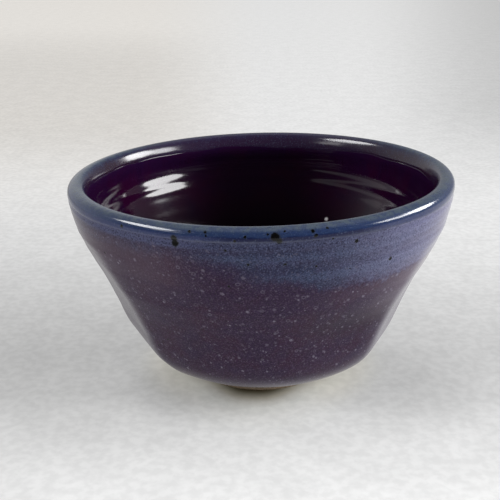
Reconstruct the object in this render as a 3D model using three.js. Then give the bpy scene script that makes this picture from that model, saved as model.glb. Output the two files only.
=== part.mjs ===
// Wheel-thrown stoneware bowl with a rolled lip, a trimmed foot ring and three glaze coats.
// Millimetres, +Z up, origin at the centre of the foot's bottom plane, front towards -Y.
// Profiles are lists of (radius, height); azimuths are degrees from the front, positive towards +X.
import * as THREE from 'three';

const { degToRad, radToDeg, smoothstep } = THREE.MathUtils;

// ---- driving dimensions ----
const RIM_R = 70;              // nominal outermost radius of the rolled lip
const HEIGHT = 76.7;           // height of the lip's crest, before the tilt
const RIM_TILT = 0.0257;       // rise of the rim towards +X, per millimetre of X
const FLOOR_Z = 9.6;           // inside floor, at the centre
const SEGMENTS = 72;           // facets around the axis

const FOOT_R = 27.7;           // widest radius of the foot ring, just under the glaze line
const FOOT_INNER_R = 21.5;     // inside of the foot ring, at the bottom
const FOOT_BOTTOM_INSET = 0.9; // bottom outer corner, inwards from FOOT_R
const FOOT_SIDE_INSET = 0.25;  // foot side above the chamfer and at the shoulder, from FOOT_R
const FOOT_CHAMFER = 0.6;      // height of the foot ring's chamfered outer edge
const RECESS_DEPTH = 1.9;      // trimmed hollow under the floor
const RECESS_SLOPE = 2.0;      // radial run of the recess's sloping side

const GLAZE_LINE_Z = 2.4;      // bare clay below, glaze above
const BARE_TOP_DROP = 0.3;     // widest point of the bare foot, below the glaze line
const SHOULDER_RISE = 0.55;    // clay shoulder under the glaze, above the glaze line
const GLAZE_T = 0.7;           // thickness of each glaze coat
const GLAZE_GAP = 0.2;         // clearance between a coat and the clay, and between two coats
const GLAZE_LIP_OUT = 0.15;    // outer coat's bottom edge, outwards from FOOT_R
const GLAZE_HEEL_OUT = 0.02;   // outer coat's lowest underside point, outwards from FOOT_R
const GLAZE_HEEL_RISE = 0.58;  // and above the glaze line
// The rim coat runs from the first profile point less than BAND_OUT below the crest outside
// to the first one more than BAND_IN below it inside.
const BAND_OUT = 4.5;
const BAND_IN = 5.6;

// ---- glazed surface: knots of one curve, up the outside, over the lip, down the inside ----
// Outside wall: [radius, height]
const OUTSIDE = [
  [FOOT_R, GLAZE_LINE_Z], [31.6, 4.5], [37.8, 7.5], [44.1, 11], [48.5, 15],
  [51.7, 20], [55.1, 28], [59, 38], [63.3, 48], [66.9, 59],
];
// Rolled lip, then the upper inside wall: [inwards from RIM_R, down from HEIGHT]
const LIP = [
  [0.55, 7], [0.42, 5.2], [0.05, 3.4], [0.25, 1.9], [1.15, 0.75], [2.5, 0.12], [3.8, 0],
  [5.05, 0.32], [5.9, 1.15], [6.6, 2.5], [7.2, 4.3], [7.35, 6.3], [7.2, 9],
];
// Inside wall and floor: [radius, height]
const INSIDE = [
  [62.7, 63.6], [61, 58.2], [59.15, 53.5], [56.2, 47.6], [52.6, 40.5], [49.3, 30.5],
  [45.3, 22], [39.2, 16.2], [30.2, 12.4], [19, 10.4], [8, FLOOR_Z + 0.05],
];

const point = (radius, height) => new THREE.Vector2(radius, height);

// The smooth curve at its knots, plus the middle of each span on the outside wall.
function glazedProfile() {
  const lip = LIP.map(([inwards, down]) => [RIM_R - inwards, HEIGHT - down]);
  const knots = [...OUTSIDE, ...lip, ...INSIDE].map(([radius, height]) => point(radius, height));
  return new THREE.SplineCurve(knots)
    .getPoints(2 * (knots.length - 1))
    .filter((p, i) => i % 2 === 0 || i < 2 * OUTSIDE.length);
}

// A curve moved sideways, to the left of its direction of travel.
function offset(curve, distance) {
  return curve.map((p, i) => {
    const before = curve[Math.max(i - 1, 0)];
    const after = curve[Math.min(i + 1, curve.length - 1)];
    const along = point(after.x - before.x, after.y - before.y).normalize();
    return point(p.x - along.y * distance, p.y + along.x * distance);
  });
}

// The point a signed distance from curve[i] towards its next (or, if negative, previous) point.
function nudge(curve, i, distance) {
  const along = curve[i + Math.sign(distance)].clone().sub(curve[i]).normalize();
  return curve[i].clone().addScaledVector(along, Math.abs(distance));
}

const profile = glazedProfile();
const underside = offset(profile, GLAZE_T);              // inner face of the glaze coats
const clay = offset(profile, GLAZE_T + GLAZE_GAP);       // clay surface under the glaze

// Profile indices of the crest and of the two ends of the rim coat.
const crest = profile.reduce((best, p, i) => (p.y > profile[best].y ? i : best), 0);
const bandOut = profile.findIndex((p) => p.y > HEIGHT - BAND_OUT);
const bandIn = profile.findIndex((p, i) => i > crest && p.y < HEIGHT - BAND_IN);

// ---- hand-pressed dents in the wall ----
// Round dents: [azimuth, height, depth, width in degrees, reach up, reach down]
const DENTS = [
  [-28, 30, 1.3, 13, 10, 9], [28, 30, 2.3, 13, 10, 9],
  [-150, 28, 1.9, 14, 10, 9], [150, 28, 1.9, 14, 10, 9],
];
// Flats on the two sides: the azimuth each faces, and [height, depth] down its middle
const FLATS = [
  {
    facing: -64,
    depths: [
      [3, 0], [8, 2.6], [13, 3.6], [19, 3.15], [27, 3.6], [37, 3.2], [47, 2.5], [57, 0.95], [64, 0],
    ],
  },
  {
    facing: 66.4,
    depths: [
      [3, 0], [8, 0.6], [13, 1.3], [19, 2.3], [27, 3], [37, 2.85], [47, 2.1], [57, 0.8], [64, 0],
    ],
  },
];
const FLAT_EDGE = 1.5;         // rounding of the ridge around a flat
const FLAT_MAX_ANGLE = 68;     // the flat's plane is followed no further round than this, degrees
const FLAT_FULL_DEPTH = 0.8;   // shallower than this, a flat is faded out
const ROUND_BELOW_Z = 2.8;     // the foot takes no round dents,
const DENTED_ABOVE_Z = 9;      // which reach full strength here

// Signed angle from centre to azimuth, within half a turn.
const angleFrom = (azimuth, centre) => ((azimuth - centre + 540) % 360) - 180;

// Value at x on a smooth (Hermite) curve through [x, value] rows; constant beyond both ends.
function interpolate(table, x) {
  const last = table.length - 1;
  if (x <= table[0][0]) return table[0][1];
  if (x > table[last][0]) return table[last][1];
  const slope = (i) => {
    if (i === 0 || i === last) return 0;
    return (table[i + 1][1] - table[i - 1][1]) / (table[i + 1][0] - table[i - 1][0]);
  };
  const end = table.findIndex(([rowX]) => x <= rowX);
  const [x0, value0] = table[end - 1];
  const [x1, value1] = table[end];
  const span = x1 - x0;
  const t = (x - x0) / span;
  return (2 * t ** 3 - 3 * t ** 2 + 1) * value0
    + (t ** 3 - 2 * t ** 2 + t) * span * slope(end - 1)
    + (3 * t ** 2 - 2 * t ** 3) * value1
    + (t ** 3 - t ** 2) * span * slope(end);
}

// Radius of the undented outside wall at a height.
const wall = profile.slice(0, crest + 1);
function outsideRadius(z) {
  for (let i = 1; i < wall.length; i++) {
    const lower = wall[i - 1];
    const upper = wall[i];
    if (z <= upper.y) {
      const t = Math.max(0, (z - lower.y) / (upper.y - lower.y));
      return lower.x + t * (upper.x - lower.x);
    }
  }
  return wall[wall.length - 1].x;
}

// How far the outside wall is pressed in, at an azimuth and a height.
function dentDepth(azimuth, z) {
  const full = outsideRadius(z);
  const strength = smoothstep(z, ROUND_BELOW_Z, DENTED_ABOVE_Z);
  let radius = full;
  for (const [centre, height, depth, width, up, down] of DENTS) {
    const across = angleFrom(azimuth, centre) / width;
    const rise = (z - height) / (z > height ? up : down);
    radius -= strength * depth * Math.exp(-0.5 * (across ** 2 + rise ** 2));
  }
  for (const { facing, depths } of FLATS) {
    const press = interpolate(depths, z);
    const angle = Math.min(Math.abs(angleFrom(azimuth, facing)), FLAT_MAX_ANGLE);
    const plane = (full - press) / Math.cos(degToRad(angle));
    // Smooth minimum of the wall and the plane
    const blend = Math.max(FLAT_EDGE - Math.abs(radius - plane), 0) / FLAT_EDGE;
    const cut = radius - Math.min(radius, plane) + 0.25 * FLAT_EDGE * blend ** 2;
    radius -= cut * smoothstep(press, 0, FLAT_FULL_DEPTH);
  }
  return full - radius;
}

// ---- a profile turned about the axis, dented and tilted ----
function turned(points) {
  const geometry = new THREE.LatheGeometry(points, SEGMENTS);
  geometry.rotateX(Math.PI / 2);
  const position = geometry.getAttribute('position');
  const vertex = new THREE.Vector3();
  for (let i = 0; i < position.count; i++) {
    vertex.fromBufferAttribute(position, i);
    const radius = Math.hypot(vertex.x, vertex.y);
    if (radius <= 1e-6) continue;   // points on the axis stay put
    const azimuth = radToDeg(Math.atan2(vertex.x, -vertex.y));
    // Dents fade towards the axis; the tilt grows with height.
    const fade = Math.min(1, radius / outsideRadius(vertex.z)) ** 3;
    const scale = (radius - fade * dentDepth(azimuth, vertex.z)) / radius;
    vertex.x *= scale;
    vertex.y *= scale;
    vertex.z += RIM_TILT * vertex.x * (Math.max(vertex.z, 0) / HEIGHT) ** 3;
    position.setXYZ(i, vertex.x, vertex.y, vertex.z);
  }
  geometry.computeVertexNormals();
  return geometry;
}

const closed = (points) => [...points, points[0].clone()];

function piece(name, points, { color, roughness }) {
  const material = new THREE.MeshStandardMaterial({ color, roughness, metalness: 0 });
  const mesh = new THREE.Mesh(turned(points), material);
  mesh.name = name;
  return mesh;
}

// ---- pieces ----
// Clay: recess, foot ring, bare band, then the surface under the glaze, back to the axis inside.
function stonewareBody() {
  return piece('stoneware_body', [
    point(0, RECESS_DEPTH),
    point(FOOT_INNER_R - RECESS_SLOPE, RECESS_DEPTH),
    point(FOOT_INNER_R, 0),
    point(FOOT_R - FOOT_BOTTOM_INSET, 0),
    point(FOOT_R - FOOT_SIDE_INSET, FOOT_CHAMFER),
    point(FOOT_R, GLAZE_LINE_Z - BARE_TOP_DROP),
    point(FOOT_R - FOOT_SIDE_INSET, GLAZE_LINE_Z + SHOULDER_RISE),
    ...clay.slice(1),
    point(0, FLOOR_Z - GLAZE_T - GLAZE_GAP),
  ], { color: 0x9a8878, roughness: 0.85 });
}

// Inside coat: from the axis out under the floor and up the wall, back down the visible face.
function linerGlaze() {
  return piece('liner_glaze', [
    point(0, FLOOR_Z - GLAZE_T),
    ...underside.slice(bandIn + 1).reverse(),
    nudge(underside, bandIn, GLAZE_GAP),
    nudge(profile, bandIn, GLAZE_GAP),
    ...profile.slice(bandIn + 1),
    point(0, FLOOR_Z),
  ], { color: 0x2a0d22, roughness: 0.15 });
}

// Outside coat: from the glaze line up to the rim coat.
function outerGlaze() {
  return piece('outer_glaze', closed([
    point(FOOT_R + GLAZE_LIP_OUT, GLAZE_LINE_Z),
    ...profile.slice(1, bandOut),
    nudge(profile, bandOut, -GLAZE_GAP),
    nudge(underside, bandOut, -GLAZE_GAP),
    ...underside.slice(1, bandOut).reverse(),
    point(FOOT_R + GLAZE_HEEL_OUT, GLAZE_LINE_Z + GLAZE_HEEL_RISE),
  ]), { color: 0x3a2e3d, roughness: 0.38 });
}

// Rim coat: over the roll, from just below it outside to a few millimetres down inside.
function rimGlaze() {
  return piece('rim_glaze', closed([
    ...profile.slice(bandOut, bandIn + 1),
    ...underside.slice(bandOut, bandIn + 1).reverse(),
  ]), { color: 0x3e4a66, roughness: 0.12 });
}

const bowl = new THREE.Group();
bowl.name = 'stoneware_bowl';
bowl.add(stonewareBody(), linerGlaze(), outerGlaze(), rimGlaze());

export default bowl;
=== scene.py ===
"""A glazed stoneware bowl, hand thrown, with finger dents and a slightly tilted rim.

The bowl stands on z = 0 with its axis on Z.  Its front faces -Y, where the camera stands, and +X
is to the right.  Angles run round the axis in degrees, 0 at the front and positive to the right.
The shape and the glazes are worked out in millimetres; meshes, lamps and floor are in metres.
"""
import math
import random
from functools import cached_property, reduce

import bpy
import numpy as np
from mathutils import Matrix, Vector


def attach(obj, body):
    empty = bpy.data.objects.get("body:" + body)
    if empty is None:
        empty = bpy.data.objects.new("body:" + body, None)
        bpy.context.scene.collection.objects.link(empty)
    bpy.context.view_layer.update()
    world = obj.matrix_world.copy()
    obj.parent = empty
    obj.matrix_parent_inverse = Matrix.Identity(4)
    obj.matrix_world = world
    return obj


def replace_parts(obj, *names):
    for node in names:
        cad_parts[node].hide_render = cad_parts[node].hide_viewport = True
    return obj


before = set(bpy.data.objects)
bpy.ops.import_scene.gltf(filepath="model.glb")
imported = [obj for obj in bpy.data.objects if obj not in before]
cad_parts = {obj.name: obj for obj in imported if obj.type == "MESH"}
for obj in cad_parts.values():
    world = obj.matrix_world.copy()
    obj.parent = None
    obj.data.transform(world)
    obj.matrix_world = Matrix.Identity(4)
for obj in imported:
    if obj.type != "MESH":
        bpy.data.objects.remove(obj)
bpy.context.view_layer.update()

random.seed(11)
MM = 0.001

# =================================================================================================
# 1. The bowl's surface
# =================================================================================================
RIM_RADIUS, HEIGHT = 70.0, 76.7
FLOOR_START = (27.55, 0.5)      # where the profile starts, at the foot
# The profile as (radius, height), from the foot up the outside, over the lip and down to the axis
OUTSIDE = [(27.70, 2.4), (31.6, 4.5), (37.8, 7.5), (44.1, 11.0), (48.5, 15.0), (51.7, 20.0),
           (55.1, 28.0), (59.0, 38.0), (63.3, 48.0), (66.9, 59.0)]
# The lip and the neck inside it, as (in from the rim's radius, down from the rim's height)
LIP = [(0.55, 7.0), (0.42, 5.2), (0.05, 3.4), (0.25, 1.9), (1.15, 0.75), (2.5, 0.12), (3.8, 0.0),
       (5.05, 0.32), (5.9, 1.15), (6.6, 2.5), (7.2, 4.3), (7.35, 6.3), (7.2, 9.0)]
INSIDE = [(62.7, 63.6), (61.0, 58.2), (59.15, 53.5), (56.2, 47.6), (52.6, 40.5), (49.3, 30.5),
          (45.3, 22.0), (39.2, 16.2), (30.2, 12.4), (19.0, 10.4), (8.0, 9.65), (0.0, 9.6)]
KNOTS = OUTSIDE + [(RIM_RADIUS - x, HEIGHT - z) for x, z in LIP] + INSIDE
# Round dents: angle, height, depth, width in degrees, reach up, reach down
DENTS = [(-28, 30, 1.3, 13, 10, 9), (28, 30, 2.3, 13, 10, 9),
         (-150, 28, 1.9, 14, 10, 9), (150, 28, 1.9, 14, 10, 9)]
# A flat on each side: its angle, then (height, depth pressed in)
FLATS = [(-64.0, [(3, 0), (8, 2.6), (13, 3.6), (19, 3.15), (27, 3.6), (37, 3.2), (47, 2.5),
                  (57, 0.95), (64, 0)]),
         (66.4, [(3, 0), (8, 0.6), (13, 1.3), (19, 2.3), (27, 3.0), (37, 2.85), (47, 2.1),
                 (57, 0.8), (64, 0)])]
FLAT_HALF_WIDTH = 68.0          # degrees
FLAT_EDGE = 1.5                 # how softly a flat meets the round wall
TILT = 0.0257                   # rise of the rim per mm towards +X

SEGMENTS = 480
ANGLES = np.arange(SEGMENTS) * 360.0 / SEGMENTS


def catmull(points, count):
    """Smooth curve through the points, count samples a span."""
    points = np.asarray(points, float)
    curve = []
    for i in range(len(points) - 1):
        start, end = points[i], points[i + 1]
        slope_in = (end - points[max(i - 1, 0)]) * 0.5
        slope_out = (points[min(i + 2, len(points) - 1)] - start) * 0.5
        t = (np.arange(count) / count)[:, None]
        curve.append((2 * start - 2 * end + slope_in + slope_out) * t ** 3
                     + (-3 * start + 3 * end - 2 * slope_in - slope_out) * t ** 2
                     + slope_in * t + start)
    curve.append(points[-1:])
    return np.concatenate(curve)


PROFILE = catmull([FLOOR_START] + KNOTS, 80)
PROFILE_R, PROFILE_Z = PROFILE.T
ARC = np.concatenate([[0], np.cumsum(np.hypot(*np.diff(PROFILE, axis=0).T))])
CREST = int(np.argmax(PROFILE_Z))
ARC_END, ARC_CREST = float(ARC[-1]), float(ARC[CREST])


def on_profile(arc):
    """Radius, height and outward normal of the profile at an arc length."""
    def point(where):
        where = np.clip(where, 0, ARC_END)
        return np.interp(where, ARC, PROFILE_R), np.interp(where, ARC, PROFILE_Z)

    arc = np.clip(np.asarray(arc, float), 0, ARC_END)
    reach = 0.35
    (r_before, z_before), (r_after, z_after) = point(arc - reach), point(arc + reach)
    run, rise = r_after - r_before, z_after - z_before
    length = np.hypot(run, rise)
    return *point(arc), rise / length, -run / length


def arc_at(height, inside=False):
    """Arc length at which the profile passes a height, outside or inside."""
    if inside:
        passed = (ARC > ARC_CREST) & (PROFILE_Z <= height)
    else:
        passed = PROFILE_Z >= height
    return float(ARC[np.where(passed)[0][0]])


def outside_radius(z):
    return np.interp(z, PROFILE_Z[:CREST + 1], PROFILE_R[:CREST + 1])


def smoothstep(x, start, end):
    t = np.clip((x - start) / (end - start), 0, 1)
    return t * t * (3 - 2 * t)


def bell(x, centre, width):
    return math.exp(-((x - centre) / width) ** 2)


def away(angle, centre):
    """Signed degrees from centre to angle."""
    return (angle - centre + 540.0) % 360.0 - 180.0


def along(table, x):
    """The value at x on a smooth curve through a table of (x, value); flat beyond both ends."""
    stops, values = (np.array(column, float) for column in zip(*table))
    slopes = np.zeros(len(stops))
    slopes[1:-1] = (values[2:] - values[:-2]) / (stops[2:] - stops[:-2])
    x = np.clip(x, stops[0], stops[-1])
    i = np.clip(np.searchsorted(stops, x) - 1, 0, len(stops) - 2)
    width = stops[i + 1] - stops[i]
    t = (x - stops[i]) / width
    return ((2 * t ** 3 - 3 * t ** 2 + 1) * values[i]
            + (t ** 3 - 2 * t ** 2 + t) * width * slopes[i]
            + (3 * t ** 2 - 2 * t ** 3) * values[i + 1]
            + (t ** 3 - t ** 2) * width * slopes[i + 1])


def dent(angle, z):
    """How far the outside wall is pressed in by the dents and the flats."""
    full = outside_radius(z)
    above_foot = smoothstep(z, 2.8, 9.0)
    radius = full
    for centre, height, depth, width, up, down in DENTS:
        across = away(angle, centre) / width
        along_wall = (z - height) / np.where(z > height, up, down)
        radius = radius - above_foot * depth * np.exp(-0.5 * (across ** 2 + along_wall ** 2))
    for centre, depths in FLATS:
        press = along(depths, z)
        turn = np.minimum(np.abs(away(angle, centre)), FLAT_HALF_WIDTH)
        plane = (full - press) / np.cos(np.radians(turn))
        blend = np.maximum(FLAT_EDGE - np.abs(radius - plane), 0) / FLAT_EDGE
        cut = radius - np.minimum(radius, plane) + 0.25 * FLAT_EDGE * blend * blend
        radius = radius - cut * smoothstep(press, 0.0, 0.8)
    return full - radius


def waves(*terms):
    """Whole-turn waves over ANGLES: (waves per turn, amplitude, phase in degrees)."""
    turn = np.radians(ANGLES)
    return sum(size * np.sin(count * turn + math.radians(phase)) for count, size, phase in terms)


# Rings of the thrown wall outside: amplitude, pitch, starts of the spiral, phase, share of drift
OUTER_RINGS = [(0.040, 7.6, 1, 0.0, 1.0), (0.020, 3.9, 2, 1.3, 1.6), (0.008, 2.1, 3, 0.4, -2.0)]
RING_DRIFT = waves((1, 0.55, 40), (2, 0.35, 200), (3, 0.2, 80))
SCALLOP_PITCH, SCALLOP_DEPTH = 5.2, 0.17
SCALLOP_HEIGHT = 58.6 + waves((1, 0.35, 30), (3, 0.2, 90))
LUMPS_LONG = waves((4, 0.10, 15), (7, 0.055, 120), (11, 0.03, 300))
LUMPS_SHORT = waves((5, 0.07, 250), (9, 0.035, 10), (14, 0.02, 77))


def relief(arc):
    """Height of the surface over the profile along its normal: throwing rings, soft lumps."""
    radius, z, _, _ = on_profile(arc)
    turn = ANGLES / 360.0
    outer = sum(size * np.cos(2 * math.pi * (arc / pitch - starts * turn) + phase
                              + share * RING_DRIFT)
                for size, pitch, starts, phase, share in OUTER_RINGS)
    outer = (outer * (0.3 + 0.7 * smoothstep(z, 36, 56)) * smoothstep(z, 9, 24)
             * (1 - smoothstep(z, HEIGHT - 9.0, HEIGHT - 5.5)))
    inner = 0.010 * np.cos(2 * math.pi * (arc / 11.0 + turn) + 0.6 * RING_DRIFT)
    scallop = np.sqrt(np.sin(math.pi * (z - SCALLOP_HEIGHT) / SCALLOP_PITCH) ** 2 + 0.012)
    inner = inner - SCALLOP_DEPTH * scallop * (0.05 + 0.95 * smoothstep(z, 52.6, 56.2))
    inner = (inner * (1 - smoothstep(z, HEIGHT - 9.0, HEIGHT - 5.0))
             * smoothstep(radius, 6, 20))
    lumps = LUMPS_LONG * np.sin(arc / 15.0 + 0.4) + LUMPS_SHORT * np.cos(arc / 9.0 + 1.1)
    lumps = lumps * smoothstep(z, 4, 16) * smoothstep(radius, 4, 18)
    lip = smoothstep(z, HEIGHT - 7.0, HEIGHT - 3.0)
    lumps = lumps * (1 - 0.75 * lip) - 0.12 * lip
    return np.where(arc > ARC_CREST, inner, outer) + lumps - 0.02


def deform(angle, radius, z):
    """A point of the round bowl, carried to the dented, tilted one."""
    fade = np.minimum(1.0, np.maximum(radius, 0) / outside_radius(z)) ** 3
    radius = np.maximum(radius - fade * dent(angle, z), 0)
    turn = np.radians(angle)
    x, y = radius * np.sin(turn), -radius * np.cos(turn)
    return x, y, z + TILT * x * (np.maximum(z, 0) / HEIGHT) ** 3


# =================================================================================================
# 2. The four pieces.  A row is the (radius, height) of a ring before it is deformed.
# =================================================================================================
BAND_OUT = arc_at(HEIGHT - 4.35)                # where the lip's blue coat ends outside
BAND_IN = arc_at(HEIGHT - 5.4, inside=True)     # and inside
GLAZE_EDGE = arc_at(2.4)                        # where the outside glaze stops above the foot
COAT_UNDER = -0.70                              # underside of a glaze coat
# How those three edges wander round the bowl
OUT_WAVE = waves((2, 0.10, 20), (3, 0.14, 100), (5, 0.12, 260), (9, 0.10, 10), (17, 0.07, 140),
                 (31, 0.035, 50))
IN_WAVE = waves((2, 0.35, 120), (5, 0.30, 10), (8, 0.25, 200), (13, 0.2, 310), (23, 0.12, 95))
FOOT_WAVE = waves((1, 0.22, 200), (2, 0.20, 80), (4, 0.16, 20), (7, 0.12, 190), (12, 0.07, 60),
                  (19, 0.04, 10))


def spaced(start, end, step):
    return np.linspace(start, end, max(2, int(round(abs(end - start) / step)) + 1))


def surface_row(arc, lift, shift=0.0):
    """A ring on the visible surface, raised by lift and moved along the profile by shift."""
    arc = arc + shift
    radius, z, normal_out, normal_up = on_profile(arc)
    rise = relief(arc) + lift
    return radius + normal_out * rise, z + normal_up * rise


def add_object(name, data):
    obj = bpy.data.objects.new(name, data)
    bpy.context.scene.collection.objects.link(obj)
    return obj


def solid(name, rows, material, closed=False, drop=0.0):
    """A closed mesh: the rows close on themselves, or both ends close on the axis.

    drop lowers the first of the two points on the axis below its ring.
    """
    points = np.array([np.stack(deform(ANGLES, *row), -1) for row in rows])
    count = len(rows)
    i = np.arange(count if closed else count - 1)[:, None]
    j = np.arange(SEGMENTS)[None, :]
    here, there = i * SEGMENTS, (i + 1) % count * SEGMENTS
    beside = (j + 1) % SEGMENTS
    quads = np.stack([here + j, here + beside, there + beside, there + j], -1).reshape(-1, 4)
    faces = [tuple(quad) for quad in quads.tolist()]
    verts = points.reshape(-1, 3)
    if not closed:
        for ring, lower, order in ((0, drop, -1), (count - 1, 0.0, 1)):
            first, centre = ring * SEGMENTS, len(verts)
            verts = np.concatenate([verts, [(0.0, 0.0, points[ring, :, 2].mean() - lower)]])
            for k in range(SEGMENTS):
                faces.append((first + k, first + (k + 1) % SEGMENTS, centre)[::order])
    mesh = bpy.data.meshes.new(name)
    mesh.from_pydata((verts * MM).tolist(), [], faces)
    mesh.polygons.foreach_set("use_smooth", [True] * len(mesh.polygons))
    mesh.update()
    obj = add_object(name, mesh)
    mesh.materials.append(material)
    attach(obj, "root")
    return obj


def build_outer(material):
    """The glaze coat outside: a rolled, beaded edge at the foot, sunk under the blue on top."""
    edge = [0.0, 0.12, 0.3, 0.55, 0.85, 1.2, 1.6, 2.1, 2.7]
    top = [-0.6, -0.35, -0.15, 0.0, 0.15, 0.3, 0.5, 0.8, 1.2, 1.7]
    band = BAND_OUT - GLAZE_EDGE
    bead_size = 0.20 + waves((3, 0.06, 30), (5, 0.05, 170), (11, 0.03, 70))
    rows = []
    for up in edge + list(spaced(3.3, band - 0.9, 0.66)) + [v + band for v in top]:
        t = min(up / 1.15, 1.0)
        roll = -0.72 + 0.72 * math.sqrt(max(0.0, 1 - (1 - t) ** 2))
        bead = bead_size * bell(up, 1.5, 1.1)
        sink = 0.50 * smoothstep(up - band - OUT_WAVE, -0.10, 0.75)
        rows.append(surface_row(GLAZE_EDGE + up, roll + bead - sink,
                                FOOT_WAVE * (1 - smoothstep(up, 0.5, 6.0))))
    rows += [surface_row(arc, COAT_UNDER)
             for arc in spaced(BAND_OUT + top[-1], GLAZE_EDGE + 1.6, 4.0)]
    return solid("outer_glaze_coat", rows, material, closed=True)


def build_rim(material):
    """The blue coat over the lip, thinned and lightly beaded along both edges."""
    width = BAND_IN - BAND_OUT
    edge = [0.0, 0.15, 0.35, 0.6, 0.9, 1.3]

    def edge_lift(distance, bead):
        return -0.16 * (1 - smoothstep(distance, 0.0, 0.55)) + bead * bell(distance, 0.9, 0.6)

    rows = []
    for u in edge + list(spaced(1.7, width - 1.7, 0.42)) + [width - v for v in reversed(edge)]:
        shift = (OUT_WAVE * (1 - smoothstep(u, 0.8, 3.0))
                 + IN_WAVE * smoothstep(u, width - 5.0, width - 1.2)
                 - 0.35 * (1 - smoothstep(u, 0, 1.5)) + 0.35 * smoothstep(u, width - 1.5, width))
        lift = edge_lift(u, bead=0.05) + edge_lift(width - u, bead=0.04)
        rows.append(surface_row(BAND_OUT + u, lift, shift))
    for u in spaced(width - 0.6, 0.6, 1.5):                 # underside
        under = -0.40 - 0.30 * smoothstep(min(u, width - u), 1.5, 3.2)
        rows.append(surface_row(BAND_OUT + u, under))
    return solid("rim_glaze_band", rows, material, closed=True)


def build_liner(material):
    """The glaze coat inside: its underside from the floor up, then the surface down again."""
    rows = [surface_row(arc, COAT_UNDER) for arc in spaced(ARC_END - 3.0, BAND_IN - 1.5, 4.5)]
    top = [BAND_IN + v for v in (-1.5, -1.0, -0.6, -0.3, -0.1, 0.1, 0.3, 0.6, 1.0, 1.5)]
    for arc in top + list(spaced(BAND_IN + 2.2, ARC_END - 0.6, 0.74)):
        past_band = arc - (BAND_IN + IN_WAVE)
        rows.append(surface_row(arc, -0.50 * (1 - smoothstep(past_band, -0.75, 0.10))))
    return solid("liner_glaze_coat", rows, material, drop=0.02)


# Sides of the foot ring as (radius, height, unevenness)
FOOT_INNER = [(19.4, 1.82, 0.4), (19.9, 1.55, 0.4), (20.4, 1.05, 0.4), (20.9, 0.50, 0.4),
              (21.3, 0.16, 0.4), (21.7, 0.03, 0.4), (22.1, 0.0, 0.2)]
FOOT_OUTER = [(26.55, 0.03, 0.5), (26.85, 0.13, 0.5), (27.1, 0.32, 0.5), (27.28, 0.58, 0.5),
              (27.38, 0.9, 0.5), (27.45, 1.25, 0.5), (27.5, 1.6, 0.5), (27.52, 1.95, 0.5),
              (27.52, 2.3, 0.5), (27.5, 2.65, 0.5)]
FOOT_UNDER = [22.9, 23.8, 24.7, 25.6, 26.2]     # radii of the flat face it stands on


def build_body(material):
    """The clay: a hollow with turning marks under the floor, the foot ring, then the walls."""
    uneven = waves((3, 0.10, 10), (8, 0.05, 80), (15, 0.03, 200))

    def foot_side(table):
        return [(radius + amount * uneven, z) for radius, z, amount in table]

    rows = [(radius, 1.90 + 0.055 * math.cos(2 * math.pi * radius / 2.3 + 0.5)
             - 0.06 * (radius / 19.0) ** 2) for radius in spaced(0.8, 19.0, 0.55)]
    rows += foot_side(FOOT_INNER) + [(radius, 0.0) for radius in FOOT_UNDER]
    rows += foot_side(FOOT_OUTER)
    rows += [surface_row(arc, -0.85) for arc in spaced(arc_at(3.1), ARC_END - 1.0, 2.2)]
    return solid("stoneware_clay", rows, material)


# =================================================================================================
# 3. Short calls for shader nodes
# =================================================================================================
class Field:
    """A value in a node tree.  Arithmetic on it adds Math nodes."""

    def __init__(self, nodes, socket):
        self.nodes, self.socket = nodes, socket

    def __add__(self, other): return self.nodes.math("ADD", self, other)
    def __radd__(self, other): return self.nodes.math("ADD", other, self)
    def __sub__(self, other): return self.nodes.math("SUBTRACT", self, other)
    def __rsub__(self, other): return self.nodes.math("SUBTRACT", other, self)
    def __mul__(self, other): return self.nodes.math("MULTIPLY", self, other)
    def __truediv__(self, other): return self.nodes.math("DIVIDE", self, other)
    def __pow__(self, other): return self.nodes.math("POWER", self, other)
    def __abs__(self): return self.nodes.math("ABSOLUTE", self)

    def max(self, other, clamp=False):
        return self.nodes.math("MAXIMUM", self, other, clamp=clamp)

    def smooth(self, start, end, low=0.0, high=1.0):
        """Smooth step from low where this is at start to high where it is at end."""
        inputs = {"Value": self, "From Min": start, "From Max": end, "To Min": low,
                  "To Max": high}
        return self.nodes.output("ShaderNodeMapRange", inputs, "Result",
                                 interpolation_type="SMOOTHSTEP")

    def near(self, centre, half):
        """1 at centre, falling to 0 at half either side."""
        return abs(self - centre).smooth(half, 0.0)

    def channel(self, index):
        return self.nodes.output("ShaderNodeSeparateColor", {0: self}, index)


class Nodes:
    """A node tree, emptied, and calls that add nodes to it."""

    def __init__(self, owner):
        owner.use_nodes = True
        self.tree = owner.node_tree
        self.tree.nodes.clear()

    def put(self, socket, value):
        if isinstance(value, Field):
            self.tree.links.new(value.socket, socket)
        elif isinstance(value, tuple) and len(value) == 3 and len(socket.default_value) == 4:
            socket.default_value = (*value, 1.0)
        else:
            socket.default_value = value

    def outputs(self, kind, names, inputs, **settings):
        """Add a node and return the named outputs.  Inputs that are None keep their default."""
        node = self.tree.nodes.new(kind)
        for key, value in settings.items():
            setattr(node, key, value)
        for key, value in inputs.items():
            if value is not None:
                self.put(node.inputs[key], value)
        return [Field(self, node.outputs[name]) for name in names]

    def output(self, kind, inputs, name=0, **settings):
        return self.outputs(kind, [name], inputs, **settings)[0]

    def math(self, operation, a, b=None, clamp=False):
        return self.output("ShaderNodeMath", {0: a, 1: b}, operation=operation, use_clamp=clamp)

    def vector(self, operation, a, b=None, scale=None, name="Vector"):
        return self.output("ShaderNodeVectorMath", {0: a, 1: b, "Scale": scale}, name,
                           operation=operation)

    def paint(self, colour, *layers):
        """Lay (cover, colour) layers over a colour in turn."""
        for cover, layer in layers:
            colour = self.output("ShaderNodeMix", {0: cover, 6: colour, 7: layer}, 2,
                                 data_type="RGBA", clamp_factor=True)
        return colour


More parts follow.
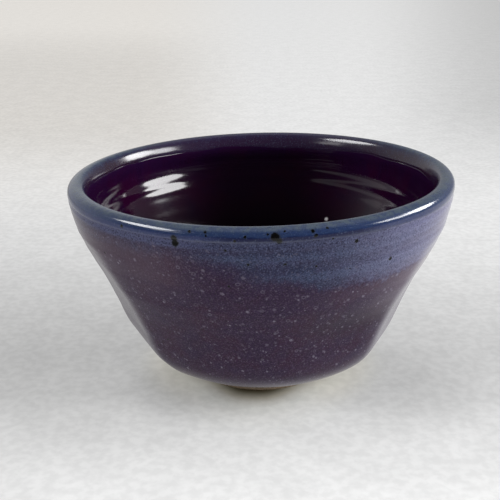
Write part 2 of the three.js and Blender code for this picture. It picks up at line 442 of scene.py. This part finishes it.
class Glaze(Nodes):
    """A Principled material in object coordinates, written in millimetres."""

    def __init__(self, name):
        self.material = bpy.data.materials.new(name)
        super().__init__(self.material)
        place = self.output("ShaderNodeTexCoord", {}, "Object")
        self.place = self.vector("SCALE", place, scale=1000.0)
        self.x, self.y, self.z = self.outputs("ShaderNodeSeparateXYZ", "XYZ", {0: self.place})

    @cached_property
    def radius(self):
        return self.math("SQRT", self.x * self.x + self.y * self.y)

    @cached_property
    def turn(self):
        """Angle round the bowl in radians."""
        return self.math("ARCTAN2", self.x, self.y * -1.0)

    @cached_property
    def degrees(self):
        return self.turn * (180.0 / math.pi)

    @cached_property
    def height(self):
        """Height without the rim's tilt."""
        return self.z - self.x * TILT * (self.z * (1.0 / HEIGHT)) ** 3.0

    def combine(self, x, y, z):
        return self.output("ShaderNodeCombineXYZ", {0: x, 1: y, 2: z})

    def shifted(self, at, shift, y_share, z_share):
        at = self.place if at is None else at
        if shift:
            at = self.vector("ADD", at, (shift, shift * y_share, shift * z_share))
        return at

    def noise(self, size, detail=2.0, rough=0.5, distort=0.0, at=None, shift=0.0):
        """Noise whose features are about size mm wide; 0 to 1, mean 0.5."""
        inputs = {"Vector": self.shifted(at, shift, 0.37, -0.71), "Scale": 1.0 / size,
                  "Detail": detail, "Roughness": rough, "Distortion": distort}
        return self.output("ShaderNodeTexNoise", inputs, "Fac")

    def cells(self, size, at=None, shift=0.0):
        """Distance to the middle of cells about size mm wide, and each cell's random colour."""
        inputs = {"Vector": self.shifted(at, shift, -0.61, 0.43), "Scale": 1.0 / size}
        return self.outputs("ShaderNodeTexVoronoi", ("Distance", "Color"), inputs)

    def runs(self, size, radius):
        """Noise drawn out down the wall, size mm wide at a radius."""
        at = self.combine(self.turn * radius, self.height * 0.10, 0.0)
        return self.noise(size, detail=3.0, rough=0.6, at=at, shift=2.0)

    def distance(self, point):
        return self.vector("DISTANCE", self.place, point, name="Value")

    def bump(self, height, depth, normal=None):
        inputs = {"Strength": 1.0, "Distance": depth * MM, "Height": height, "Normal": normal}
        return self.output("ShaderNodeBump", inputs, "Normal")

    def off_back(self):
        """1 round the front, 0 at the very back, so that the two sides close up there."""
        return abs(self.degrees).smooth(174.0, 120.0)

    def throwing(self, pitch, starts, phase):
        """The spiral of the throwing rings, -1 to 1."""
        turns = self.turn * (1.0 / (2 * math.pi))
        wave = self.height * (1.0 / pitch) - turns * starts
        return self.math("COSINE", (wave + phase) * (2 * math.pi))

    def finish(self, colour, rough, normal, ior, specular=0.5):
        shader = self.output("ShaderNodeBsdfPrincipled", {
            "Base Color": colour, "Roughness": rough, "IOR": ior, "Normal": normal,
            "Specular IOR Level": specular}, "BSDF")
        self.outputs("ShaderNodeOutputMaterial", [], {"Surface": shader})
        return self.material


# =================================================================================================
# 4. Masks and colours that the glazes share
# =================================================================================================
# Iron specks: angle, height, radius of the spot
IRON = [(3.6, 74.45, 0.95), (4.6, 73.15, 0.62), (6.0, 75.9, 0.26), (12.8, 75.4, 0.42),
        (13.5, 74.1, 0.40), (16.6, 75.8, 0.32), (-3.6, 74.5, 0.33), (1.9, 75.2, 0.30),
        (-13.4, 75.6, 0.34), (-13.1, 74.6, 0.26), (-17.4, 75.5, 0.36), (-21.4, 72.9, 0.75),
        (-21.2, 71.4, 0.80), (-37.4, 74.0, 0.40), (-6.0, 73.2, 0.26), (-2.9, 65.4, 0.30),
        (6.3, 65.3, 0.30), (-8.4, 70.2, 0.26), (24.4, 70.6, 0.42), (37.0, 61.5, 0.45),
        (71.0, 73.8, 0.5), (98.0, 74.6, 0.6), (102.0, 72.0, 0.4), (137.0, 74.8, 0.55),
        (161.0, 73.4, 0.6), (-74.0, 74.2, 0.5), (-97.0, 73.4, 0.7), (-99.0, 71.9, 0.4),
        (-128.0, 74.6, 0.45), (-158.0, 73.2, 0.65), (120.0, 60.0, 0.5), (-120.0, 57.0, 0.4),
        (176.0, 52.0, 0.5), (-60.0, 44.0, 0.35), (52.0, 38.0, 0.35)]
IRON_BLACK = (0.003, 0.003, 0.003)


def iron_mask(glaze):
    """The placed iron spots plus a scatter of small ones, and the wider stained halo."""
    wobble = (glaze.noise(0.55, shift=7.0) - 0.5) * 0.75
    spots, halos = [], []
    for angle, height, size in IRON:
        radius, z, _, _ = on_profile(arc_at(height))
        point = tuple(float(c) for c in deform(angle, radius, z))
        distance = glaze.distance(point) + wobble
        spots.append(distance.smooth(size * 1.65, size * 1.05))
        halos.append(distance.smooth(size * 2.4, size * 0.8))
    distance, cell = glaze.cells(5.2, shift=3.0)
    size = cell.channel(1) ** 2.0 * 0.085
    small = distance.smooth(size + 0.022, size * 0.6) * cell.channel(0).smooth(0.66, 0.70)
    return (reduce(Field.max, spots).max(small, clamp=True),
            reduce(Field.max, halos).max(small * 0.6, clamp=True))


def veil_mask(glaze):
    """Where the blue coat thins out over the plum: deep on the right, shallow on the left."""
    degrees = glaze.degrees
    ragged = ((glaze.noise(13.0, detail=3.0, rough=0.6, shift=21.0) - 0.5) * 4.0
              + (glaze.noise(1.2, detail=3.0, rough=0.65, shift=5.0) - 0.5) * 5.0)
    # drips: narrow round the bowl, long in height
    stretched = glaze.combine(glaze.turn * 66.0, glaze.height * 0.16, glaze.radius)
    drips = (glaze.noise(2.2, at=stretched) - 0.5) * 3.0 * glaze.off_back()
    # height of the veil's lower edge, moved by so many mm over each range of angles
    low = (68.4 + degrees.smooth(-22.0, 6.0) * -9.3 + degrees.smooth(4.0, 20.0) * -4.2
           + degrees.smooth(-35.0, -55.0) * -1.9 + degrees.smooth(95.0, 170.0) * 8.8
           + degrees.smooth(-95.0, -170.0) * -2.5 + ragged + drips)
    over = glaze.height - low
    # the edge is soft on the left and sharp on the right
    sharp = degrees.smooth(-8.0, 16.0) * glaze.off_back()
    edges = {0: sharp, 2: over.smooth(-5.5, 6.0), 3: over.smooth(-1.8, 2.6)}
    return glaze.output("ShaderNodeMix", edges, data_type="FLOAT", clamp_factor=True)


CRYSTAL_AMOUNT = 0.95       # share of the cells that hold a crystal
CRYSTAL_SQUEEZE = 0.92      # below 1 draws the crystals out in height and radius
CRYSTAL_RADIUS = 56.0       # mm that turns angles into lengths round the wall


def crystals(glaze, size, tilt, shift, smallest, largest):
    """Pale crystals floating in the glaze.  The cell size is in mm; smallest and largest are
    shares of it."""
    around = glaze.turn * CRYSTAL_RADIUS + glaze.height * tilt
    at = glaze.combine(around, glaze.height * CRYSTAL_SQUEEZE, glaze.radius * CRYSTAL_SQUEEZE)
    distance, cell = glaze.cells(size, at=at, shift=shift)
    pick = cell.channel(2)
    reach = pick * pick * (largest - smallest) + smallest
    ragged = distance + (glaze.noise(0.45, shift=shift) - 0.5) * 0.26
    present = cell.channel(0).smooth(1.0 - CRYSTAL_AMOUNT, 1.04 - CRYSTAL_AMOUNT)
    strength = 0.45 + cell.channel(1) * 0.55
    return ragged.smooth(reach, reach * 0.45) * present * strength


def strip_colour(glaze):
    """The clear blue-violet just under the lip, brighter towards both sides."""
    sides = glaze.degrees.smooth(-8.0, -22.0).max(glaze.degrees.smooth(26.0, 50.0))
    return glaze.paint((0.040, 0.046, 0.094), (sides, (0.066, 0.072, 0.146)))


def blue_coat(glaze, mottle):
    """The blue glaze: greyed on the crest, saturated down the roll, a navy line, the strip."""
    wander = (glaze.noise(3.2, rough=0.6, shift=60.0) - 0.5) * 1.1
    wavy_height = glaze.height + wander
    # the navy line is deepest at the front and thins out to either side
    front = glaze.degrees.smooth(-17.0, -5.0) * glaze.degrees.smooth(36.0, 24.0)
    navy = glaze.paint((0.030, 0.040, 0.112), (front, (0.004, 0.006, 0.042)))
    return glaze.paint(
        (0.021, 0.038, 0.100),
        (glaze.height.smooth(HEIGHT - 1.5, HEIGHT - 0.2), (0.062, 0.086, 0.118)),   # crest
        (mottle.smooth(0.44, 0.60) * 0.55, (0.018, 0.034, 0.105)),
        (wavy_height.smooth(HEIGHT - 2.0, HEIGHT - 2.9), navy),
        (wavy_height.smooth(HEIGHT - 3.4, HEIGHT - 4.0), strip_colour(glaze)))


# =================================================================================================
# 5. The four materials
# =================================================================================================
def outer_material():
    glaze = Glaze("plum_satin_glaze")
    degrees, height = glaze.degrees, glaze.height
    veil = veil_mask(glaze)
    big = glaze.noise(17.0, detail=3.0, rough=0.55, distort=0.6)
    mid = glaze.noise(4.5, detail=3.0, rough=0.6, distort=0.4, shift=9.0)
    fine = glaze.noise(0.85, detail=3.0, rough=0.7, shift=2.0)
    grain = glaze.noise(0.55, rough=0.65, shift=15.0)
    dust = glaze.noise(0.48, rough=0.6, shift=33.0)
    wrap = glaze.off_back()
    right = degrees.smooth(6.0, 30.0) * wrap
    # towards the left the plum is dusted with mauve; towards the right, a painted rose sheen,
    # speckled
    mauve = degrees.smooth(-10.0, -34.0) * wrap * height.smooth(44.0, 60.0)
    painted_rose_sheen = degrees.smooth(26.0, 58.0) * wrap * height.smooth(34.0, 52.0)
    plum = glaze.paint(
        (0.0305, 0.0088, 0.0300),
        # clouds and grain
        (big.smooth(0.40, 0.60), (0.0240, 0.0098, 0.0350)),
        (mid.smooth(0.40, 0.68) * 0.50, (0.027, 0.015, 0.046)),
        (fine.smooth(0.52, 0.66) * 0.45, (0.060, 0.034, 0.078)),
        (dust.smooth(0.53, 0.64) * 0.55, (0.090, 0.066, 0.105)),
        (grain.smooth(0.53, 0.62) * 0.60, (0.010, 0.004, 0.012)),
        # broad soft bands round the right of the wall
        (height.near(38.0, 8.0) * right * 0.40, (0.012, 0.004, 0.012)),
        (height.near(20.0, 8.0) * right * 0.12, (0.110, 0.090, 0.130)),
        (height.near(51.0, 6.5) * right * 0.18, (0.120, 0.090, 0.130)),
        (height.smooth(15.0, 7.5) * 0.45, (0.058, 0.045, 0.078)),      # paler low down
        (mauve * (0.22 + dust * 0.38), (0.120, 0.088, 0.112)),
        # painted rose sheen on the right
        (painted_rose_sheen * (0.22 + dust * 0.40), (0.210, 0.160, 0.200)))

    # the veil: blue-violet with dark and pale grain, lighter on the ridges of the rings
    rings = glaze.throwing(pitch=7.6, starts=1.0, phase=0.1)
    # side marks the right, where light and sheen are painted in: the veil turns paler and more
    # lavender there, its grain paler, and its throwing lines show
    side = degrees.smooth(8.0, 62.0) * wrap
    lines = glaze.throwing(pitch=2.7, starts=2.0, phase=0.3) * side
    cloud = glaze.noise(8.0, detail=3.0, rough=0.6, shift=31.0)
    dark_grain = glaze.paint((0.008, 0.007, 0.024), (side, (0.060, 0.060, 0.120)))
    pale_grain = glaze.paint((0.095, 0.112, 0.200), (side, (0.240, 0.250, 0.390)))
    violet = glaze.paint(
        (0.022, 0.033, 0.076),
        (cloud.smooth(0.42, 0.60), (0.030, 0.032, 0.080)),
        (rings.smooth(-0.2, 1.0) * 0.40, (0.054, 0.066, 0.125)),       # ridges
        (rings.smooth(0.1, -0.9) * 0.35, (0.018, 0.018, 0.046)),       # hollows
        (degrees.smooth(-18.0, -50.0) * wrap * 0.80, (0.090, 0.066, 0.098)),     # left
        (height.smooth(HEIGHT - 8.6, HEIGHT - 6.4), strip_colour(glaze)),
        (height.near(68.9, 1.5) * 0.50, (0.016, 0.016, 0.046)),        # dark line
        (height.near(66.2, 1.7) * 0.30, (0.060, 0.070, 0.130)),        # pale line
        # painted light and sheen on the right
        (side * 0.80, (0.200, 0.200, 0.325)),                          # right
        (lines.smooth(0.1, 1.0) * 0.30, (0.270, 0.270, 0.410)),
        (lines.smooth(-0.1, -1.0) * 0.30, (0.110, 0.110, 0.200)),
        (grain.smooth(0.50, 0.60) * 0.75, dark_grain),
        (dust.smooth(0.52, 0.62) * 0.60, pale_grain))
    cover = (veil + rings.smooth(0.0, 1.0) * 0.25 * veil) * (0.60 + mid * 0.55)
    cover = cover.max(height.smooth(HEIGHT - 9.0, HEIGHT - 5.8) * 0.92)
    cover = glaze.math("MULTIPLY", cover, 1.0, clamp=True)

    # crystals; a few have grown into small open rings
    coarse = crystals(glaze, 2.0, tilt=0.22, shift=4.0, smallest=0.13, largest=0.38)
    small = crystals(glaze, 1.3, tilt=-0.22, shift=12.0, smallest=0.12, largest=0.30)
    at = glaze.combine(glaze.turn * CRYSTAL_RADIUS, height, glaze.radius * 0.9)
    distance, cell = glaze.cells(3.6, at=at, shift=27.0)
    off_ring = abs(distance + (fine - 0.5) * 0.10 - 0.15)
    open_ring = off_ring.smooth(0.055, 0.02) * cell.channel(0).smooth(0.50, 0.55)
    flecks = coarse.max(small * 0.70, clamp=True).max(open_ring * 0.42, clamp=True)
    flecks = flecks * (0.50 + mid.smooth(0.38, 0.62) * 0.50)
    flecks = flecks * (height.smooth(HEIGHT - 4.0, HEIGHT - 8.0) * (1.0 - veil * 0.55))

    # painted sheen: a pale milky lightening where the surface turns away from the eye, stronger on
    # the right
    facing = glaze.output("ShaderNodeLayerWeight", {"Blend": 0.5}, "Facing")
    painted_sheen = facing.smooth(0.50, 0.98) * (0.19 + degrees.smooth(-10.0, 10.0) * wrap * 0.26)
    iron, halo = iron_mask(glaze)
    colour = glaze.paint(
        plum,
        (cover, violet),
        (flecks * 0.76, (0.215, 0.190, 0.250)),
        # the painted sheen
        (painted_sheen, (0.300, 0.270, 0.330)),
        (halo * 0.40, (0.040, 0.042, 0.016)),
        (iron, IRON_BLACK),
        (height.smooth(3.4, 2.3) * 0.65, (0.060, 0.038, 0.030)))       # thin, brown foot edge
    normal = glaze.bump(glaze.noise(1.9, shift=40.0), depth=0.014)
    normal = glaze.bump(grain * 0.6 + flecks * 0.5, depth=0.006, normal=normal)
    normal = glaze.bump(iron * -1.0, depth=0.05, normal=normal)
    rough = 0.16 + fine * 0.07 + flecks * 0.10
    return glaze.finish(colour, rough, normal, ior=1.50, specular=0.15)


def rim_material():
    glaze = Glaze("blue_gloss_glaze")
    mottle = glaze.noise(2.6, detail=3.0, rough=0.6, distort=0.5, shift=3.0)
    grain = glaze.noise(0.50, rough=0.6, shift=15.0)
    pale = glaze.noise(0.46, rough=0.6, shift=35.0)
    # inside the crest the blue runs down into plum
    inward = (RIM_RADIUS - 0.1) - glaze.radius
    inward = inward + (glaze.runs(1.5, radius=66.0) - 0.5) * 2.2
    plum = glaze.paint((0.022, 0.004, 0.018),
                       (glaze.noise(9.0).smooth(0.4, 0.6), (0.020, 0.006, 0.026)))
    back = abs(glaze.turn).smooth(1.9, 2.6)
    iron, halo = iron_mask(glaze)
    colour = glaze.paint(
        blue_coat(glaze, mottle),
        (inward.smooth(4.2, 6.8), plum),
        (back * 0.70, (0.032, 0.017, 0.048)),       # thin on the far side, plum shows through
        (grain.smooth(0.54, 0.66) * 0.45, (0.010, 0.012, 0.036)),
        (pale.smooth(0.56, 0.68) * 0.30, (0.110, 0.140, 0.220)),
        (halo * 0.35, (0.040, 0.045, 0.018)),
        (iron, IRON_BLACK))
    normal = glaze.bump(glaze.noise(4.5, detail=1.0, rough=0.4, shift=50.0), depth=0.03)
    normal = glaze.bump(grain, depth=0.003, normal=normal)
    return glaze.finish(colour, 0.125 + grain * 0.07, normal, ior=1.52, specular=0.40)


# a small pale spot on the far inside wall, painted near white and raised a little
PALE_SPOT = (28.96, 45.46, 43.05)     # one pale blister on the far wall


def liner_material():
    glaze = Glaze("plum_gloss_liner")
    height = glaze.height
    cloud = glaze.noise(14.0, detail=3.0, rough=0.55, distort=0.5)
    fine = glaze.noise(0.7, rough=0.6, shift=8.0)
    near_rim = (height + glaze.runs(1.3, radius=62.0) * 10.0).smooth(HEIGHT - 11.0, HEIGHT + 2.0)
    plum = glaze.paint(
        (0.0220, 0.0012, 0.0175),
        (cloud.smooth(0.40, 0.60), (0.0160, 0.0016, 0.0190)),
        (near_rim * 0.50, (0.022, 0.007, 0.046)),
        (fine.smooth(0.62, 0.76) * 0.30, (0.045, 0.020, 0.052)))
    # painted shade: the liner goes nearly black down the wall and, below the rim, towards the back
    painted_shade_low = height.smooth(60.0, 34.0) * 0.85
    back = abs(glaze.turn).smooth(2.30, 2.95) * 0.75
    clear = (1.0 - painted_shade_low) * (1.0 - back * height.smooth(HEIGHT - 3.0, HEIGHT - 11.0))
    distance, cell = glaze.cells(6.5, shift=9.0)
    speck = distance.smooth(0.055, 0.02) * cell.channel(0).smooth(0.55, 0.60)
    pale_spot = glaze.distance(PALE_SPOT).smooth(1.30, 0.45)
    # the nearly black base is painted shade; the plum shows only where that shade lifts
    colour = glaze.paint((0.0015, 0.0006, 0.0016), (clear, plum), (speck, IRON_BLACK),
                         (pale_spot, (0.80, 0.78, 0.80)))
    normal = glaze.bump(glaze.noise(6.0, detail=1.5, rough=0.4, shift=50.0), depth=0.02)
    normal = glaze.bump(pale_spot, depth=0.25, normal=normal)
    return glaze.finish(colour, 0.075 + fine * 0.05, normal, ior=1.50, specular=0.40)


def clay_material():
    clay = Glaze("bare_stoneware")
    cloud = clay.noise(9.0, detail=3.0, rough=0.6)
    fine = clay.noise(0.6, detail=4.0, rough=0.75, shift=4.0)
    distance, cell = clay.cells(1.7, shift=5.0)
    grog = distance.smooth(0.26, 0.10) * cell.channel(0).smooth(0.60, 0.66)
    pale = distance.smooth(0.22, 0.10) * cell.channel(1).smooth(0.78, 0.84)
    colour = clay.paint(
        (0.330, 0.245, 0.170),
        (cloud.smooth(0.3, 0.7), (0.270, 0.205, 0.150)),
        (fine.smooth(0.45, 0.8) * 0.5, (0.420, 0.330, 0.240)),
        (grog, (0.075, 0.045, 0.030)),
        (pale, (0.52, 0.44, 0.35)),
        (clay.z.smooth(1.6, 2.7) * 0.6, (0.160, 0.085, 0.045)))     # toasted where glaze stops
    normal = clay.bump(fine, depth=0.05)
    normal = clay.bump(pale * 0.5 - grog, depth=0.06, normal=normal)
    return clay.finish(colour, 0.74 + fine * 0.2, normal, ior=1.45)


for build, make_material, part in (
        (build_body, clay_material, "stoneware_body"),
        (build_outer, outer_material, "outer_glaze"),
        (build_rim, rim_material, "rim_glaze"),
        (build_liner, liner_material, "liner_glaze")):
    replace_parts(build(make_material()), part)


# =================================================================================================
# 6. Camera and lamps
# =================================================================================================
CAMERA_DISTANCE, CAMERA_HEIGHT = 294.476, 151.930       # mm in front of the axis, and up
CAMERA_PITCH, CAMERA_YAW = 0.3474, -0.0128              # radians down, and to the right


def add_camera():
    data = bpy.data.cameras.new("camera")
    data.sensor_width = 36.0
    data.lens = 59.226336
    data.clip_start = 0.01
    camera = add_object("camera", data)
    forward = Vector((math.sin(CAMERA_YAW) * math.cos(CAMERA_PITCH),
                      math.cos(CAMERA_YAW) * math.cos(CAMERA_PITCH), -math.sin(CAMERA_PITCH)))
    camera.location = (0.0, -CAMERA_DISTANCE * MM, CAMERA_HEIGHT * MM)
    camera.rotation_euler = forward.to_track_quat("-Z", "Y").to_euler()
    bpy.context.scene.camera = camera


LAMP_AIM = Vector((0, 0, 0.05))
SOFTBOX_DISTANCE = 0.9


def area(name, azimuth, elevation, distance, width, height, radiance, colour=(1, 1, 1),
         mirrored=False):
    """A lamp facing the bowl.  A mirrored one is an ellipse seen only in reflections; any
    other is a rectangle that lights but is not reflected."""
    data = bpy.data.lights.new(name, "AREA")
    data.shape = "ELLIPSE" if mirrored else "RECTANGLE"
    data.size, data.size_y = width, height
    data.energy = radiance * width * height * math.pi * (math.pi / 4 if mirrored else 1.0)
    data.color = colour
    lamp = add_object(name, data)
    turn, rise = math.radians(azimuth), math.radians(elevation)
    offset = Vector((math.sin(turn) * math.cos(rise), -math.cos(turn) * math.cos(rise),
                     math.sin(rise))) * distance
    lamp.location = LAMP_AIM + offset
    lamp.rotation_euler = (-offset).to_track_quat("-Z", "Y").to_euler()
    lamp.visible_camera = False
    lamp.visible_glossy, lamp.visible_diffuse = mirrored, not mirrored
    return lamp


def softbox(name, azimuth, elevation, wide, high, radiance, piece):
    """A mirrored lamp given by the angles it covers, linked to one piece of the bowl."""
    width, height = (2 * SOFTBOX_DISTANCE * math.tan(math.radians(angle / 2))
                     for angle in (wide, high))
    lamp = area(name, azimuth, elevation, SOFTBOX_DISTANCE, width, height, radiance,
                mirrored=True)
    group = bpy.data.collections.new(lamp.name + "_lights")
    group.objects.link(bpy.data.objects[piece])
    lamp.light_linking.receiver_collection = group


# Name, azimuth, elevation, degrees wide and high, radiance, the piece that mirrors it
SOFTBOXES = [
    ("lip_left", -80, 41, 34, 18, 17.0, "rim_glaze_band"),
    ("lip_right", 103, 25, 25, 19, 23.0, "rim_glaze_band"),
    ("lip_far_left", 79, 26, 21, 15, 16.0, "rim_glaze_band"),
    ("lip_far_right", -56, 27, 18, 9, 4.0, "rim_glaze_band"),
    ("inside_window", 79, 18, 38, 23, 19.0, "liner_glaze_coat"),
    ("inside_slit", 121, 9, 7, 12, 11.0, "liner_glaze_coat"),
    ("inside_far", -122, 9, 7, 8, 5.0, "liner_glaze_coat"),
    ("inside_left", -76, 20, 66, 10, 0.45, "liner_glaze_coat"),
]

add_camera()
for row in SOFTBOXES:
    softbox(*row)
area("left_fill", azimuth=-75, elevation=35, distance=1.4, width=1.2, height=0.9, radiance=1.0,
     colour=(1.0, 0.985, 0.96))
area("right_fill", azimuth=85, elevation=25, distance=1.4, width=1.2, height=0.9, radiance=4.6,
     colour=(0.96, 0.98, 1.0))


# =================================================================================================
# 7. Room and floor, in metres
# =================================================================================================
def add_world():
    """The room: reflections see it dark behind the camera, pale round the back, dim overhead."""
    world = bpy.data.worlds.new("room")
    bpy.context.scene.world = world
    room = Nodes(world)

    def background(colour, strength=1.0):
        return room.output("ShaderNodeBackground", {"Color": colour, "Strength": strength})

    def choose(factor, off, on):
        return room.output("ShaderNodeMixShader", {0: factor, 1: off, 2: on})

    direction = room.output("ShaderNodeTexCoord", {}, "Generated")
    x, y, z = room.outputs("ShaderNodeSeparateXYZ", "XYZ", {0: direction})
    behind = y.smooth(-0.45, 0.45) * x.smooth(-0.35, 0.15, 0.92, 0.46)
    low = z.smooth(0.95, 0.25)
    overhead = z.smooth(0.55, 0.95, 0.0, 0.55) * y.smooth(-0.35, 0.25)
    mirrored = background((1.0, 1.0, 1.02), behind * low * 0.72 + overhead + 0.013)
    soft = background((1.0, 1.0, 1.0), 0.66)
    plain = background((0.760, 0.745, 0.725))
    glossy_ray, camera_ray = room.outputs(
        "ShaderNodeLightPath", ("Is Glossy Ray", "Is Camera Ray"), {})
    surface = choose(camera_ray, choose(glossy_ray, soft, mirrored), plain)
    room.outputs("ShaderNodeOutputWorld", [], {"Surface": surface})


# Brightness of the floor as (y, level), from the front to the back
FLOOR_DEPTH = [(-0.090, 0.97), (-0.066, 0.88), (-0.046, 0.80), (-0.030, 0.70), (0.006, 0.645),
               (0.057, 0.735), (0.125, 0.83), (0.22, 0.90), (0.30, 0.92)]
# Tight warm shadow at the foot as (distance from the axis, colour)
FOOT_SHADOW = [(0.0268, (0.05, 0.038, 0.020)), (0.0285, (0.12, 0.105, 0.072)),
               (0.0303, (0.27, 0.25, 0.20)), (0.0324, (0.47, 0.44, 0.37)),
               (0.0352, (0.72, 0.70, 0.65)), (0.0393, (0.92, 0.92, 0.885)),
               (0.045, (0.99, 0.985, 0.965)), (0.052, (1.0, 1.0, 0.99)),
               (0.0598, (1.0, 1.0, 1.0))]


def floor_material():
    """A pale sheet that glows a little, so that the shadow round the foot stays soft. Its light and
    shade, the foot's shadow among them, are painted into its colour.
    """
    material = bpy.data.materials.new("studio_floor")
    sheet = Nodes(material)
    place = sheet.output("ShaderNodeTexCoord", {}, "Object")
    x, y = sheet.outputs("ShaderNodeSeparateXYZ", "XY", {0: place})

    def hypot(a, b):
        return sheet.math("SQRT", a * a + b * b, 0.0)

    def ramp(value, low, high, stops):
        """Colours or grey levels along the value, from low to high."""
        node = sheet.tree.nodes.new("ShaderNodeValToRGB")
        elements = node.color_ramp.elements
        while len(elements) < len(stops):
            elements.new(0.5)
        for i, (at, level) in enumerate(stops):
            elements[i].position = (at - low) / (high - low)
            elements[i].color = (*np.broadcast_to(level, 3), 1)
        sheet.put(node.inputs["Fac"], (value - low) / (high - low))
        return Field(sheet, node.outputs["Color"])

    def mottle(scale):
        return sheet.output("ShaderNodeTexNoise",
                            {"Vector": place, "Scale": scale, "Detail": 3.0}, "Fac")

    # brightness: by depth, and from the left to the right near the bowl
    depth = ramp(y, -0.10, 0.30, FLOOR_DEPTH) * y.smooth(0.4, 2.0, 1.0, 1.03)
    left_level = y.smooth(-0.085, -0.05, 1.0, 0.925) + y.smooth(-0.02, 0.03, 0.0, 0.040)
    sides = x.smooth(-0.10, 0.10, left_level, 1.085)
    sides = (sides - 1.0) * y.smooth(0.34, 0.08) + 1.0
    # dimmer in the far right and in the middle distance on the left
    slant = x / (y + 0.31)
    corner = slant.smooth(0.10, 0.30) * y.smooth(0.15, 0.6)
    left = slant.smooth(0.0, -0.16) * (y.smooth(0.2, 0.45) * y.smooth(1.6, 0.8))
    level = depth * sides * (1.0 - corner * 0.27) * (1.0 - left * 0.13)
    # faint wide shadows to the front left and the front right
    patch = hypot(x + 0.022, y + 0.022).smooth(0.034, 0.008)
    level = level * (1.0 - patch * 0.28)
    patch = hypot(x - 0.050, y + 0.022).smooth(0.040, 0.010)
    level = level * (1.0 - patch * 0.13)
    # the foot's shadow, and warm light thrown back by the glaze on either side of it
    radius = hypot(x, y)
    aside = sheet.math("ABSOLUTE", (x + 0.002) / radius, 0.0)
    shadow = ramp(radius + aside.smooth(0.08, 0.75) * 0.0065, 0.026, 0.060, FOOT_SHADOW)
    cast = aside.smooth(0.35, 0.85) * (radius.smooth(0.026, 0.032) * radius.smooth(0.050, 0.036))
    level = level * (1.0 + cast * 0.12)
    level = level * (mottle(290.0).smooth(0.34, 0.66, 0.955, 1.045)
                     * mottle(60.0).smooth(0.34, 0.66, 0.976, 1.024))
    far_left = slant.smooth(0.02, -0.15) * y.smooth(0.1, 0.5)
    warm = sheet.paint((1.0, 1.0, 0.998), (far_left, (1.0, 0.968, 0.922)))
    gold = sheet.paint((1.0, 1.0, 1.0), (cast, (1.0, 0.980, 0.925)))
    colour = sheet.vector("MULTIPLY", sheet.vector("MULTIPLY", shadow, warm), gold)
    colour = sheet.vector("SCALE", colour, scale=level)
    # the glaze mirrors a dimmer sheet on the left, far back and in front, a brighter one right
    mirror = (x.smooth(-0.03, -0.10, 0.0, -0.20) + x.smooth(0.03, 0.10, 0.0, 0.13)
              + y.smooth(0.15, 0.60, 0.0, -0.25) + y.smooth(-0.15, -0.22, 0.0, -0.60))
    glossy_ray = sheet.output("ShaderNodeLightPath", {}, "Is Glossy Ray")
    glow = sheet.output("ShaderNodeEmission", {
        "Color": colour, "Strength": (1.0 + mirror * glossy_ray) * 0.63})
    diffuse = sheet.output("ShaderNodeBsdfDiffuse", {
        "Color": sheet.vector("SCALE", colour, scale=0.24)})
    surface = sheet.output("ShaderNodeAddShader", {0: glow, 1: diffuse})
    sheet.outputs("ShaderNodeOutputMaterial", [], {"Surface": surface})
    return material


FLOOR_HALF = 3.0


def add_floor():
    mesh = bpy.data.meshes.new("studio_floor")
    corners = [(x * FLOOR_HALF, y * FLOOR_HALF, 0) for x, y in ((-1, -1), (1, -1), (1, 1), (-1, 1))]
    mesh.from_pydata(corners, [], [(0, 1, 2, 3)])
    floor = add_object("studio_floor", mesh)
    floor.location = (0, 0, -0.00005)
    mesh.materials.append(floor_material())


add_world()
add_floor()
bpy.context.scene.view_settings.view_transform = "Standard"
